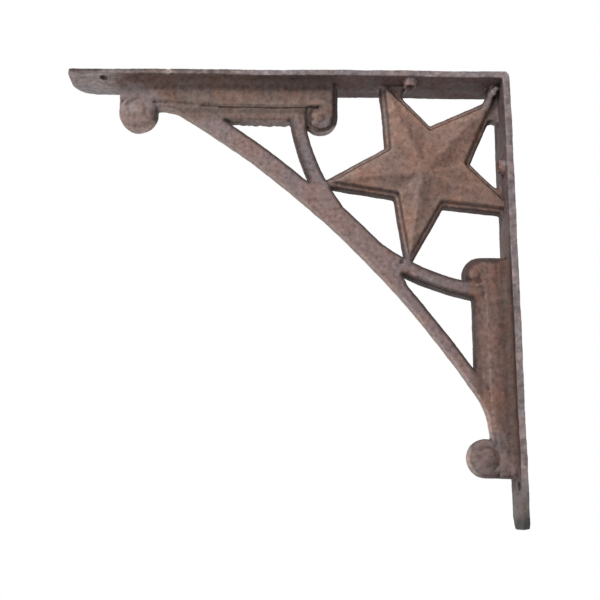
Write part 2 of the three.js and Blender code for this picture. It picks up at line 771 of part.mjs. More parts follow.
// Booleans leave a few triangles whose three corners lie almost on a line. Each of them
// gives up its longest edge, and is joined to the far corner of its neighbour instead.
function withoutSlivers(points, triangles) {
  const at = (vertex) => new THREE.Vector3().fromArray(points, 3 * vertex);
  const cornersOf = (triangle) => [0, 1, 2].map((step) => triangles[3 * triangle + step]);
  const edgeOwners = new Map();
  const own = (triangle) => {
    const corners = cornersOf(triangle);
    corners.forEach((vertex, step) => edgeOwners.set(`${vertex} ${corners[(step + 1) % 3]}`, triangle));
  };
  for (let i = 0; i < triangles.length / 3; i += 1) {
    own(i);
  }
  for (let pass = 0; pass < sliverPasses; pass += 1) {
    let found = false;
    for (let i = 0; i < triangles.length / 3; i += 1) {
      const corners = cornersOf(i);
      const lengths = corners.map((vertex, step) => at(vertex).distanceTo(at(corners[(step + 1) % 3])));
      const step = lengths.indexOf(Math.max(...lengths));
      const [from, to, apex] = [corners[step], corners[(step + 1) % 3], corners[(step + 2) % 3]];
      const area = at(to).sub(at(from)).cross(at(apex).sub(at(from))).length();
      const neighbour = edgeOwners.get(`${to} ${from}`);
      const far = cornersOf(neighbour).find((vertex) => vertex !== from && vertex !== to);
      const taken = edgeOwners.has(`${apex} ${far}`) || edgeOwners.has(`${far} ${apex}`);
      if (area / lengths[step] < sliverHeight && !taken) {
        edgeOwners.delete(`${from} ${to}`);
        edgeOwners.delete(`${to} ${from}`);
        triangles.set([apex, from, far], 3 * i);
        triangles.set([far, to, apex], 3 * neighbour);
        own(i);
        own(neighbour);
        found = true;
      }
    }
    if (!found) {
      break;
    }
  }
  return triangles;
}

function geometryOf(manifold) {
  const mesh = manifold.getMesh();
  const triangles = withoutSlivers(mesh.vertProperties, mesh.triVerts);
  const geometry = new THREE.BufferGeometry();
  geometry.setAttribute('position', new THREE.BufferAttribute(mesh.vertProperties, 3));
  geometry.setIndex(new THREE.BufferAttribute(triangles, 1));
  geometry.computeVertexNormals();
  return geometry;
}

const rustyIron = new THREE.MeshStandardMaterial({ color: 0x6b5850, roughness: 0.8, metalness: 0.35 });
const bracket = new THREE.Mesh(geometryOf(casting()), rustyIron);
bracket.name = 'bracket_casting';

const group = new THREE.Group();
group.add(bracket);

export default group;
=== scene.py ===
# %% [markdown]
# # A rusty cast iron shelf bracket with a star
#
# The bracket is one sand casting: two flanges at a right angle, and between them an openwork
# web with a raised star, a curved rib, two braces and two panels that end in scrolls. We start
# from the CAD solid, which has every main shape in millimetre-true places, and give it what a
# real casting has: soft corners, a grainy skin, small faults, rust and worn edges.

# %% Load the bracket's frame
import math
import bpy
import numpy as np
from mathutils import Matrix, Vector
from mathutils.kdtree import KDTree


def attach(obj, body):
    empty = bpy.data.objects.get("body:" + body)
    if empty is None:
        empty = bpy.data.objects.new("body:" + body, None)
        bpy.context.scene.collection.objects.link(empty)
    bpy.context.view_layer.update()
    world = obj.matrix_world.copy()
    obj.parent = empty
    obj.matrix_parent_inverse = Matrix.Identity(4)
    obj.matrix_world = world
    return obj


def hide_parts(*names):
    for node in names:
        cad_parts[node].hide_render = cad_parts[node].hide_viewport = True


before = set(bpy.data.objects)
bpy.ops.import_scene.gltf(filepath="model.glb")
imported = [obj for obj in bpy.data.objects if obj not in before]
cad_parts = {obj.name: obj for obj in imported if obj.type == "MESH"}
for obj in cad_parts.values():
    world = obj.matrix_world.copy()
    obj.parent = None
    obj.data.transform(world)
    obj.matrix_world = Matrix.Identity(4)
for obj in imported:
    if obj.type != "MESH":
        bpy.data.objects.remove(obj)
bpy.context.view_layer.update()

# %% [markdown]
# ## The camera
#
# The photograph was taken from below the bracket and a little to the right of its middle, so
# we see the underside of the shelf flange and the inner side of the wall flange. The place,
# the turn and the focal length below come from matching the bracket's corners, screw holes
# and gaps with the photograph.

# %% Set up the camera
MM = 0.001

CAMERA_PLACE = (-110.8, -478.8, -100.6)
PAN = math.radians(0.17)
TILT = math.radians(13.09)
ROLL = math.radians(-0.49)

camera_data = bpy.data.cameras.new("bracket_view")
camera_data.sensor_width = 36.0
camera_data.lens = 56.1
camera_data.shift_x = -0.0015
camera_data.shift_y = 0.003
camera = bpy.data.objects.new("bracket_view", camera_data)
bpy.context.scene.collection.objects.link(camera)
turn = (
    Matrix.Rotation(PAN, 4, "Z")
    @ Matrix.Rotation(TILT + math.pi / 2, 4, "X")
    @ Matrix.Rotation(-ROLL, 4, "Z")
)
camera.matrix_world = Matrix.Translation(Vector(CAMERA_PLACE) * MM) @ turn
bpy.context.scene.camera = camera
print("camera at", [round(1000 * v, 1) for v in camera.location], "mm, lens", camera_data.lens)

# %% [markdown]
# ## The studio
#
# The photograph's background is plain white, and its light is soft and comes from above left
# and in front. A white world gives the background and half of the light. A large softbox gives
# the other half, so that faces turned up and to the left are paler than the undersides. The
# bracket hangs on a wall in use, so it floats here, well above a plain pale floor.

# %% Make the floor, the world and the lights
def nothing_selected():
    """Operators act on all that is selected, so each step starts with nothing selected."""
    if bpy.context.object and bpy.context.object.mode != "OBJECT":
        bpy.ops.object.mode_set(mode="OBJECT")
    bpy.ops.object.select_all(action="DESELECT")


def flat_material(name, colour, roughness):
    material = bpy.data.materials.new(name)
    material.use_nodes = True
    shader = material.node_tree.nodes["Principled BSDF"]
    shader.inputs["Base Color"].default_value = (*colour, 1.0)
    shader.inputs["Roughness"].default_value = roughness
    return material


FLOOR_HEIGHT = -0.5
nothing_selected()
bpy.ops.mesh.primitive_plane_add(size=8.0, location=(0.0, 0.0, FLOOR_HEIGHT))
floor = bpy.context.object
floor.name = "studio_floor"
floor.data.materials.append(flat_material("pale_floor", (0.75, 0.75, 0.75), 0.9))

world = bpy.data.worlds.new("white_studio")
world.use_nodes = True
background = world.node_tree.nodes["Background"]
background.inputs["Color"].default_value = (1.0, 1.0, 1.0, 1.0)
background.inputs["Strength"].default_value = 1.0
bpy.context.scene.world = world
bpy.context.scene.view_settings.view_transform = "Standard"


def area_light(name, place, target, size, watts):
    light = bpy.data.lights.new(name, "AREA")
    light.size = size
    light.energy = watts
    lamp = bpy.data.objects.new(name, light)
    bpy.context.scene.collection.objects.link(lamp)
    lamp.location = place
    lamp.rotation_mode = "QUATERNION"
    lamp.rotation_quaternion = (Vector(target) - Vector(place)).to_track_quat("-Z", "Y")


BRACKET_MIDDLE = (-0.12, 0.0, 0.02)
SOFTBOX_PLACE = (-1.15, -0.85, 1.05)
area_light("softbox_above_left", SOFTBOX_PLACE, BRACKET_MIDDLE, size=0.6, watts=36.0)
print("stage: floor at", FLOOR_HEIGHT, "m, one softbox and a white world")

# %% [markdown]
# ## The casting
#
# A CAD node's own mesh is never changed, so we work on a copy. The solid's triangles are loose,
# so its doubled corners are merged first. The copy then replaces the plain solid in the
# picture, and the solid stays behind it for collisions.

# %% Copy the solid and merge its corners
def copy_of_node(node, name):
    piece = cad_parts[node].copy()
    piece.data = piece.data.copy()
    piece.name = piece.data.name = name
    for key in [k for k in piece.keys() if k.startswith("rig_")]:
        del piece[key]
    piece.parent = None
    bpy.context.scene.collection.objects.link(piece)
    piece.matrix_world = Matrix.Identity(4)
    piece.data.materials.clear()
    return piece


def edit(piece):
    nothing_selected()
    piece.select_set(True)
    bpy.context.view_layer.objects.active = piece
    bpy.ops.object.mode_set(mode="EDIT")
    bpy.ops.mesh.select_all(action="SELECT")


SAME_PLACE = 0.000002
casting = copy_of_node("bracket_casting", "rusty_casting")
edit(casting)
bpy.ops.mesh.remove_doubles(threshold=SAME_PLACE)
bpy.ops.object.mode_set(mode="OBJECT")
print("merged copy:", len(casting.data.vertices), "corners,", len(casting.data.polygons), "faces")

# %% [markdown]
# ## Lumps of stray iron
#
# Where the mould's sand broke away, the iron ran in and left lumps. The real bracket has a
# rough one in its outer corner, on the ridge above the star's tip. There is a smaller one
# beside the outer screw hole, one that fills the end of the wall panel's groove, and a ragged
# row along the rear lower edge of the shelf panel.
#
# Each lump is a small ball, squashed and sunk into the casting, and the one in the corner is
# two of them. The remesh in the next step melts them all into the skin.

# %% Add the lumps
def lump(place, size):
    """A squashed ball at a place, both in millimetres."""
    nothing_selected()
    bpy.ops.mesh.primitive_ico_sphere_add(subdivisions=3, radius=MM, location=Vector(place) * MM)
    ball = bpy.context.object
    ball.scale = size
    bpy.ops.object.transform_apply(location=True, rotation=True, scale=True)
    return ball


CORNER_LUMPS = [((-7.9, -6.4, 127.9), (2.1, 1.7, 2.3)), ((-6.4, -6.9, 129.6), (1.3, 1.3, 1.5))]
LUMP_BY_HOLE = ((-216.6, -6.5, 132.5), (2.4, 2.0, 1.5))
LUMP_IN_GROOVE = ((-17.4, -4.2, 17.3), (2.0, 1.2, 2.6))
RAGGED_PLACES = (-144.8, -141.5, -137.9, -133.6, -130.4, -126.2, -122.6)
RAGGED_SIZES = (0.9, 0.7, 1.1, 0.8, 1.2, 0.9, 1.1)

lumps = [lump(place, size) for place, size in (*CORNER_LUMPS, LUMP_BY_HOLE, LUMP_IN_GROOVE)]
for along, size in zip(RAGGED_PLACES, RAGGED_SIZES):
    lumps.append(lump((along, 2.6, 111.6), (2.3 * size, 1.1, size)))
nothing_selected()
for ball in lumps:
    ball.select_set(True)
casting.select_set(True)
bpy.context.view_layer.objects.active = casting
bpy.ops.object.join()
print("lumps added:", len(lumps))

# %% [markdown]
# ## Soft corners
#
# Molten iron leaves no sharp corners: the sand mould crumbles at its edges, and every inner
# corner gets a small fillet. A voxel remesh covers the casting in even little squares, and a
# few rounds of smoothing then melt all edges and corners by about half a millimetre.

# %% Remesh and smooth
def apply_modifier(piece, kind, name, **settings):
    """Adds one modifier, sets it up and applies it."""
    nothing_selected()
    piece.select_set(True)
    bpy.context.view_layer.objects.active = piece
    modifier = piece.modifiers.new(name, kind)
    for setting, value in settings.items():
        setattr(modifier, setting, value)
    bpy.ops.object.modifier_apply(modifier=modifier.name)


VOXEL = 0.5 * MM
apply_modifier(casting, "REMESH", "even_skin", mode="VOXEL", voxel_size=VOXEL)
apply_modifier(casting, "SMOOTH", "soft_corners", factor=0.5, iterations=5)
print("remeshed:", len(casting.data.polygons), "faces of about", 1000 * VOXEL, "mm")

# %% [markdown]
# ## Casting skin
#
# The skin of a sand casting is uneven at three sizes: the pattern and the mould were never
# quite true, so edges wander by a few tenths over a few centimetres; the surface swells and
# dips over half a centimetre; and the sand leaves a grain of about a millimetre. Each size is
# one displacement with its own cloud pattern.

# %% Displace the skin
def cloud_pattern(name, size):
    pattern = bpy.data.textures.new(name, "CLOUDS")
    pattern.noise_scale = size
    pattern.noise_depth = 2
    pattern.noise_basis = "BLENDER_ORIGINAL"
    return pattern


def uneven(piece, name, size, amount, direction="NORMAL"):
    """Moves the skin by clouds of one size, in and out or along one axis."""
    apply_modifier(
        piece,
        "DISPLACE",
        name,
        texture=cloud_pattern(name, size),
        texture_coords="LOCAL",
        direction=direction,
        strength=amount,
        mid_level=0.5,
    )


uneven(casting, "wandering_edges_along", 28 * MM, 0.8 * MM, "X")
uneven(casting, "wandering_edges_up", 33 * MM, 0.8 * MM, "Z")
uneven(casting, "swells_and_dips", 6 * MM, 0.45 * MM)
uneven(casting, "sand_grain", 1.6 * MM, 0.2 * MM)
print("skin displaced")

# %% [markdown]
# ## Pits and nicks
#
# Gas bubbles left pits in the iron, and years of knocks took small bites out of its edges. For
# each one we select the corners of the mesh round its place, pull them in along their normals
# and smooth them a little, which leaves a shallow bowl.

# %% Press in the pits
def mesh_values(piece, name):
    """A place or a normal for each corner of the mesh, one to a row."""
    values = np.empty(3 * len(piece.data.vertices), dtype=np.float32)
    piece.data.vertices.foreach_get(name, values)
    return values.reshape(-1, 3)


def edit_corners(piece, chosen):
    """Goes into edit mode with only the chosen corners selected."""
    edit(piece)
    bpy.ops.mesh.select_all(action="DESELECT")
    bpy.ops.object.mode_set(mode="OBJECT")
    piece.data.vertices.foreach_set("select", chosen)
    bpy.ops.object.mode_set(mode="EDIT")


def press_in(piece, place, radius, depth):
    """Pulls the skin in round a place, all in millimetres."""
    near = np.linalg.norm(mesh_values(piece, "co") / MM - np.array(place), axis=1) < radius
    edit_corners(piece, near)
    bpy.ops.transform.shrink_fatten(value=-depth * MM)
    bpy.ops.mesh.vertices_smooth(factor=0.5, repeat=2)
    bpy.ops.object.mode_set(mode="OBJECT")
    return int(near.sum())


CHIP = (-185.4, -12.8, 135.9)
PITS = [
    ((-59.2, -4.9, 31.7), 1.5, 0.7),
    ((-68.3, -4.9, 20.6), 1.2, 0.5),
    ((-7.4, -12.6, 83.0), 1.5, 0.5),
    ((-6.9, -12.6, 90.0), 1.2, 0.4),
    (CHIP, 1.7, 0.5),
]
print("pits:", [press_in(casting, *pit) for pit in PITS], "corners moved in each")

# %% [markdown]
# ## Worn ridges
#
# The star and the two end scrolls stand out most, so they are the most worn: their ridges are
# no longer crisp. We select the raised front of each and smooth only that. The star's apex is
# where its five ridges meet.

# %% Wear the star's ridges and the scrolls
APEX = (-47.6, 81.45)
SHELF_SCROLL = (-201.8, 114.7)
WALL_SCROLL = (-23.2, -70.5)


def wear(piece, middle, radius, front_of, rounds):
    """Smooths what lies round a place of the front, and in front of a depth, in millimetres."""
    across, depth, up = mesh_values(piece, "co").T / MM
    worn = (np.hypot(across - middle[0], up - middle[1]) < radius) & (depth < front_of)
    edit_corners(piece, worn)
    bpy.ops.mesh.vertices_smooth(factor=0.5, repeat=rounds)
    bpy.ops.object.mode_set(mode="OBJECT")
    return int(worn.sum())


print("star:", wear(casting, APEX, radius=22.0, front_of=-6.4, rounds=40), "worn corners")
print("shelf scroll:", wear(casting, SHELF_SCROLL, radius=8.2, front_of=-3.0, rounds=12))
print("wall scroll:", wear(casting, WALL_SCROLL, radius=7.4, front_of=-3.0, rounds=14))

# %% [markdown]
# ## A lighter mesh
#
# Flat stretches don't need half-millimetre faces. Decimating by collapsing edges keeps the
# faces where the surface bends, and brings the piece well under 200,000 triangles.

# %% Decimate
MOST_TRIANGLES = 190000


def triangles_in(piece):
    return sum(len(polygon.vertices) - 2 for polygon in piece.data.polygons)


if triangles_in(casting) > MOST_TRIANGLES:
    share_kept = MOST_TRIANGLES / triangles_in(casting)
    apply_modifier(casting, "DECIMATE", "lighter", ratio=share_kept)
nothing_selected()
casting.select_set(True)
bpy.context.view_layer.objects.active = casting
bpy.ops.object.shade_smooth()
print("casting:", triangles_in(casting), "triangles")

# %% [markdown]
# ## Where dirt and painted shade stay and where hands wear
#
# Dirt and dark rust stay in hollows, where shade is painted too, and handling rubs edges bare.
# Both follow how the surface bends, so we measure that at each corner of the mesh: on an edge
# the neighbours lie below the corner's own tangent plane, and in a hollow they lie above it. The
# measure is averaged over the neighbours, because grains of sand bend the skin too: a few times
# for the fine bend, and more often for the broad one. What is kept on the mesh as an attribute
# can be read by the material. The broad bend is kept here, and the fine one when the painting is
# done.

# %% Measure the bend of the surface
def averaged(values, ends, rounds):
    """Averages each corner's value with its neighbours' values, a number of times."""
    count = len(values)
    neighbours = np.bincount(ends.ravel(), minlength=count)
    for _ in range(rounds):
        sums = np.bincount(ends[:, 0], values[ends[:, 1]], count)
        sums += np.bincount(ends[:, 1], values[ends[:, 0]], count)
        values = 0.5 * values + 0.5 * sums / np.maximum(neighbours, 1)
    return values


def keep(piece, name, values):
    layer = piece.data.attributes.new(name, "FLOAT", "POINT")
    layer.data.foreach_set("value", values.astype(np.float32))


places = mesh_values(casting, "co") / MM
normals = mesh_values(casting, "normal")
ends = np.empty(2 * len(casting.data.edges), dtype=np.int32)
casting.data.edges.foreach_get("vertices", ends)
ends = ends.reshape(-1, 2)
apart = places[ends[:, 1]] - places[ends[:, 0]]
SHORTEST_SQUARED = 0.01
gap = np.maximum((apart ** 2).sum(axis=1), SHORTEST_SQUARED)
bend = np.bincount(ends[:, 0], -(normals[ends[:, 0]] * apart).sum(axis=1) / gap, len(places))
bend += np.bincount(ends[:, 1], (normals[ends[:, 1]] * apart).sum(axis=1) / gap, len(places))
bend /= np.maximum(np.bincount(ends.ravel(), minlength=len(places)), 1)
fine_bend = averaged(bend, ends, 3)
keep(casting, "broad_bend", averaged(bend, ends, 16))
print("bend per mm, 5th and 95th of 100:", np.round(np.percentile(fine_bend, (5, 95)), 3))

# %% [markdown]
# ## Colours by place
#
# The rust isn't the same all over. The star and the panels, which stand out, have a warm brown
# bloom. The rib and the braces are a greyer mauve, the insides of the flanges are painted dark
# as shade, the near edges are rubbed to a pale grey, and the two free ends are greyest. We mix
# these colours for each corner of the mesh from soft masks on its place and normal, all in
# millimetres. The colours are as a screen shows them, from 0 to 255.

# %% Paint by place
def fade(value, start, end):
    """A soft step from 0 at start to 1 at end."""
    share = np.clip((value - start) / (end - start), 0.0, 1.0)
    return share * share * (3.0 - 2.0 * share)


def between(value, rise, fall):
    """Rises softly from 0 to 1 over one stretch, and falls back to 0 over another."""
    return fade(value, *rise) * (1 - fade(value, *fall))


def linear(red, green, blue):
    """A colour as seen on a screen, 0 to 255, as the light it stands for."""
    return np.array([((c / 255 + 0.055) / 1.055) ** 2.4 for c in (red, green, blue)])


def mix_in(colour, amount):
    """Mixes a colour into the paint, by an amount from 0 to 1 for each corner."""
    global paint
    paint = paint + (linear(*colour) - paint) * amount[:, None]


def seen_distance(place):
    """How far each corner lies from a place, seen from straight in front."""
    return np.hypot(x - place[0], z - place[1])


x, y, z = places.T
nx, ny, nz = normals.T
front = fade(-ny, 0.35, 0.8)
shelf_flange = np.maximum(fade(z, 130.4, 131.6), fade(-x, 213.0, 213.8))
wall_flange = np.maximum(fade(x, -6.4, -5.2), fade(-z, 81.5, 82.3))
web = (1 - shelf_flange) * (1 - wall_flange)

GROUND_COLOUR = (135, 114, 112)
RIB_CENTRE = (-450.0, -318.75)
STAR_AREA = (-46.0, 84.0)
paint = np.tile(linear(*GROUND_COLOUR), (len(places), 1))
from_rib_centre = seen_distance(RIB_CENTRE)
braces = web * fade(from_rib_centre, 524.0, 527.0)
mix_in((124, 110, 111), braces)
on_star = web * (1 - fade(seen_distance(STAR_AREA), 40.0, 56.0))
mix_in((136, 107, 96), on_star)
shelf_panel = web * fade(z, 109.5, 112.5) * between(x, (-197.0, -186.0), (-94.0, -92.0))
mix_in((124, 101, 92), shelf_panel)
wall_panel = web * fade(x, -26.5, -22.0) * between(z, (-62.0, -50.0), (36.0, 42.0))
mix_in((126, 96, 86), wall_panel)
# Painted shade: the wall panel is darker near the wall flange, where it curves into the fillet.
shade_beside_wall_flange = wall_panel * fade(x, -13.0, -7.0)
mix_in((108, 81, 72), shade_beside_wall_flange)
keep(casting, "streaked", np.maximum(shelf_panel, wall_panel))
wall_scroll = web * fade(x, -36.0, -30.0) * (1 - fade(z, -62.0, -56.0))
mix_in((118, 102, 100), wall_scroll)
shelf_scroll = web * fade(-x, 186.0, 194.0)
mix_in((133, 116, 114), shelf_scroll)
print("mean colour of the web and its parts:", [round(float(c), 3) for c in paint.mean(axis=0)])

# %% [markdown]
# The flanges come next. Their insides are painted dark as shade, and their near edges pale, with
# a darker outer stretch along the shelf. The outer end of the shelf flange is pale grey with a
# dark line on top, and the foot of the wall flange is dark.

# %% Paint the flanges
# Painted shade: the shelf flange's underside, which faces down, is darker, a little less so
# towards the outer end.
underside = shelf_flange * fade(-nz, 0.3, 0.8)
mix_in((96, 76, 75), underside)
mix_in((106, 86, 82), 0.8 * underside * fade(-x, 130.0, 170.0))
# Painted shade: the wall flange's inner face is darker.
inner_face = wall_flange * fade(-nx, 0.3, 0.8)
mix_in((90, 73, 73), inner_face)
edge = np.maximum(shelf_flange, wall_flange) * fade(-ny, 0.5, 0.9) * fade(-y, 10.5, 12.0)
mix_in((132, 120, 121), edge)
keep(casting, "near_edge", edge)
outer_edge = edge * shelf_flange * fade(-x, 135.0, 160.0)
mix_in((116, 104, 102), outer_edge)
mix_in((82, 72, 70), outer_edge * fade(z, 135.9, 136.6))
mix_in((154, 146, 146), shelf_flange * (1 - edge) * fade(-x, 204.0, 222.0))
line_on_end = edge * shelf_flange * fade(-x, 218.0, 226.0) * fade(z, 134.6, 136.2)
mix_in((60, 52, 50), line_on_end)
mix_in((104, 95, 93), wall_flange * fade(-z, 80.0, 92.0))
mix_in((58, 54, 53), wall_flange * fade(-z, 95.0, 102.0))
print("mean colour with the flanges:", [round(float(c), 3) for c in paint.mean(axis=0)])

# %% [markdown]
# The web's side faces are painted dark, as shade and dirt, and so is a line about a millimetre
# wide on the front along each of them. The rib's lower edge is the exception: it is painted as
# pale as the front. The undersides of the shelf panel are painted pale too. The raised star's
# own wall isn't one of the web's sides, so we also measure how deep in the star each corner
# lies, and leave that wall out.

# %% Paint the sides and a dark line beside them
STAR_MIDDLE = (-45.6, 84.95)
TIP_ANGLES = (225.2, 294.8, 10.1, 79.3, 152.6)
NOTCH_ANGLES = (262.3, 332.4, 45.1, 112.7, 184.6)
TIP_RADIUS = 59.5
NOTCH_RADIUS = 24.3
FAR_FROM_SIDE = 9.0


def star_point(angle, radius):
    turned = math.radians(angle)
    return np.array(STAR_MIDDLE) - radius * np.array([math.cos(turned), math.sin(turned)])


def depth_in_star():
    """How far in from the star's outline each corner lies, and how much that edge faces up."""
    flat = np.column_stack([x, z])
    outline = []
    for tip, notch in zip(TIP_ANGLES, NOTCH_ANGLES):
        outline += [star_point(tip, TIP_RADIUS), star_point(notch, NOTCH_RADIUS)]
    nearest = np.full(len(flat), 1000.0)
    faces_up = np.zeros(len(flat))
    inside = np.zeros(len(flat), dtype=bool)
    for i, start in enumerate(outline):
        end = outline[(i + 1) % len(outline)]
        along = end - start
        share = np.clip((flat - start) @ along / (along @ along), 0.0, 1.0)
        distance = np.linalg.norm(flat - start - share[:, None] * along, axis=1)
        outwards = np.array([along[1], -along[0]]) / np.linalg.norm(along)
        if outwards @ ((start + end) / 2 - np.array(STAR_MIDDLE)) < 0:
            outwards = -outwards
        faces_up = np.where(distance < nearest, outwards[1] - 0.4 * outwards[0], faces_up)
        nearest = np.minimum(nearest, distance)
        crosses = (start[1] > z) != (end[1] > z)
        inside ^= crosses & (x < start[0] + (z - start[1]) * along[0] / along[1])
    return np.where(inside, nearest, -nearest), faces_up


def at_depth(place, depth):
    """A place as seen from the front, with its depth from front to back put in."""
    return (place[0], depth, place[1])


def near_to(place, inner, outer):
    """1 within one distance of a place, falling to 0 at another."""
    return 1 - fade(np.linalg.norm(places - np.array(place), axis=1), inner, outer)


rib_lower_edge = 1 - fade(from_rib_centre, 514.0, 516.0)
sides = web * (1 - fade(-ny, 0.3, 0.8))
under_shelf = fade(-nz, 0.3, 0.7) * fade(z, 96.0, 102.0) * (1 - on_star)
# The rib's lower edge and the shelf panel's undersides, which are painted pale.
pale_lower_faces = np.maximum(rib_lower_edge * fade(-0.7 * nx - 0.7 * nz, 0.1, 0.4), under_shelf)
star_depth, star_faces_up = depth_in_star()

is_side = (sides > 0.6) & (np.abs(y) < 5.0) & (star_depth < 1.6) & (pale_lower_faces < 0.3)
side_corners = np.flatnonzero(is_side)
side_tree = KDTree(len(side_corners))
for number, corner in enumerate(side_corners):
    side_tree.insert(places[corner], number)
side_tree.balance()
from_side = np.full(len(places), FAR_FROM_SIDE)
for corner in np.flatnonzero((web > 0.2) & (y < -2.0)):
    from_side[corner] = side_tree.find(places[corner])[2]

line_width = 1.4 - 0.5 * on_star
rim = web * (1 - fade(from_side / line_width, 0.8, 1.7)) * (1 - rib_lower_edge)
rim = rim * (1 - 0.6 * near_to(at_depth(SHELF_SCROLL, -4.0), 10.5, 12.5))
on_back = fade(ny, 0.5, 0.9)
# Painted shade and dirt on the side faces and on the line beside them, and pale paint on the
# lower faces.
sides_shade_and_dirt = 0.85 * sides * (1 - pale_lower_faces) * (1 - 0.75 * on_back)
mix_in((70, 54, 50), np.maximum(sides_shade_and_dirt, 0.95 * rim))
mix_in((176, 158, 152), 0.7 * sides * pale_lower_faces * (1 - rim) * (1 - on_back))
print("side corners:", len(side_corners), "rim corners:", int((rim > 0.5).sum()))

# %% [markdown]
# The flat ledge round the raised star has painted light, pale where it faces up, with a dark line
# of painted shade and dirt at the foot of the star's wall. The star's brow above that line has a
# painted highlight, and painted shade lies in the valleys on both sides of each ridge, but
# neither at the star's middle nor in its points.

# %% Paint the star
in_front = fade(-y, 2.0, 3.0) * on_star
ledge = between(star_depth, (0.7, 1.2), (1.9, 2.4))
# Painted light on the ledge where it faces up.
mix_in((150, 130, 122), 0.6 * in_front * ledge * fade(star_faces_up, -0.2, 0.3))
wall_foot = between(star_depth, (1.7, 2.2), (2.6, 3.3))
# Painted shade and dirt at the foot of the star's wall.
mix_in((74, 56, 50), 0.75 * in_front * wall_foot)
brow = between(star_depth, (3.1, 3.7), (4.5, 8.0))
# Painted highlight on the star's brow.
mix_in((152, 124, 110), 0.4 * in_front * brow)

angle = np.degrees(np.arctan2(APEX[1] - z, APEX[0] - x))
turns_from_tips = [np.abs((angle - tip + 180.0) % 360.0 - 180.0) for tip in TIP_ANGLES]
beside_ridge = between(np.min(turns_from_tips, axis=0), (4.0, 12.0), (20.0, 34.0))
half_way_out = between(seen_distance(APEX), (3.0, 7.0), (15.0, 27.0))
# Painted shade beside each ridge, half way out from the apex.
mix_in((98, 74, 62), 0.4 * in_front * beside_ridge * half_way_out)
print("ledge corners:", int((in_front * ledge > 0.5).sum()))

# %% [markdown]
# The ledge round the panels' raised lobes is dark. Beside the wall panel, the corner of the wall
# flange is painted a dark reddish brown, with a darker line next to the flange's rubbed near
# edge, and painted shadow lies in the corner under the shelf flange too. The grooves of both
# panels hold a soft dark band of painted shade, with a paler lip beside it.

# %% Paint the ledges, the corners and the grooves
def near_level(value, level, inner, outer):
    """1 within one distance of a level, falling to 0 at another."""
    return 1 - fade(np.abs(value - level), inner, outer)


SHELF_LOBE = (-102.3, 112.9)
WALL_LOBE = (-18.1, 25.4)
lobe_ledge = web * front * fade(y, -4.9, -3.9) * (1 - on_star)
lobes = [near_to(at_depth(lobe, -4.0), 10.0, 12.5) for lobe in (SHELF_LOBE, WALL_LOBE)]
mix_in((76, 62, 59), 0.85 * lobe_ledge * np.maximum(*lobes))

near_half = (y < 0.0) * (1 - edge)
# Painted shadow: the wall flange's inner face is darker towards the top, under the shelf flange.
mix_in((80, 64, 64), 0.7 * inner_face * fade(z, 50.0, 90.0))
beside_panel = near_half * fade(x, -9.0, -7.5) * between(z, (-80.0, -66.0), (36.0, 50.0))
mix_in((92, 68, 60), beside_panel)
mix_in((58, 43, 38), 0.9 * beside_panel * fade(-y, 9.0, 10.5))
# Painted shadow in the corner under the shelf flange, darker towards the wall.
under_flange = near_half * fade(z, 127.5, 129.5) * between(-x, (92.0, 96.0), (190.0, 205.0))
mix_in((104, 84, 78), under_flange)
mix_in((84, 68, 66), 0.8 * under_flange * (1 - fade(-x, 110.0, 150.0)))

# Painted shade in the grooves of both panels, with a paler lip beside each.
shelf_groove = web * front * between(-x, (103.0, 106.0), (170.0, 195.0))
mix_in((88, 68, 58), 0.7 * shelf_groove * near_level(z, 116.6, 0.8, 1.9))
shelf_lip = near_level(z, 119.6, 0.6, 1.8) * (1 - fade(-x, 125.0, 165.0))
mix_in((146, 126, 112), 0.5 * shelf_groove * shelf_lip)
wall_groove = wall_panel * front * (1 - fade(z, 6.0, 16.0))
mix_in((100, 78, 71), 0.5 * wall_groove * near_level(x, -20.6, 0.5, 1.6))
mix_in((146, 118, 106), 0.45 * wall_groove * near_level(x, -15.5, 0.8, 3.6))
print("groove corners:", int((shelf_groove + wall_groove > 0.5).sum()))

# %% [markdown]
# The shelf scroll has a painted highlight on its eye and painted shade in the crease beside it,
# and the wall scroll has painted shade underneath. Last of the masks are two that the material
# reads. Edges count as rubbed where the surface bends sharply, but hardly where the dark line
# runs, and less on the star. The fine bend is kept as it is, apart from the crease round the
# lump by the outer screw hole, which is kept free of the darkening of hollows.

# %% Paint the scrolls and keep the rubbed edges
SCROLL_CREASE = (-194.6, -6.0, 114.4)
# Painted shade in the crease beside the shelf scroll's eye.
mix_in((96, 80, 77), 0.6 * web * near_to(SCROLL_CREASE, 1.5, 5.0))
# Painted highlight on the shelf scroll's eye.
mix_in((156, 140, 135), 0.8 * web * near_to(at_depth(SHELF_SCROLL, -6.6), 1.5, 4.5))
# Painted shade under the wall scroll.
mix_in((70, 57, 55), 0.8 * web * fade(-z, 77.6, 79.4) * fade(x, -36.0, -26.0))

dark_line = web * (1 - fade(from_side, 0.9, 1.8))
rubbed_edges = fade(fine_bend, 0.1, 0.4) * (1 - 0.9 * dark_line) * (1 - 0.5 * on_star)
keep(casting, "rubbed", rubbed_edges)
CLEAN_CREASE = (-215.2, -6.5, 132.6)
keep(casting, "fine_bend", fine_bend * (1 - near_to(CLEAN_CREASE, 4.0, 6.0)))
print("rubbed corners:", int((rubbed_edges > 0.5).sum()))

# %% [markdown]
# Then come the single marks: the dark walls of the screw holes, painted highlights on the lumps
# and on the outer corner and on the ridge below the corner lump, a rubbed ridge on the shelf
# flange, a bright chip on the shelf edge, and dark paint in the pits. The paint says how bright
# each place looks in the photograph. Under the softbox and the white world together the iron
# looks brighter than its own colour, so its own colour is only a share of the paint.

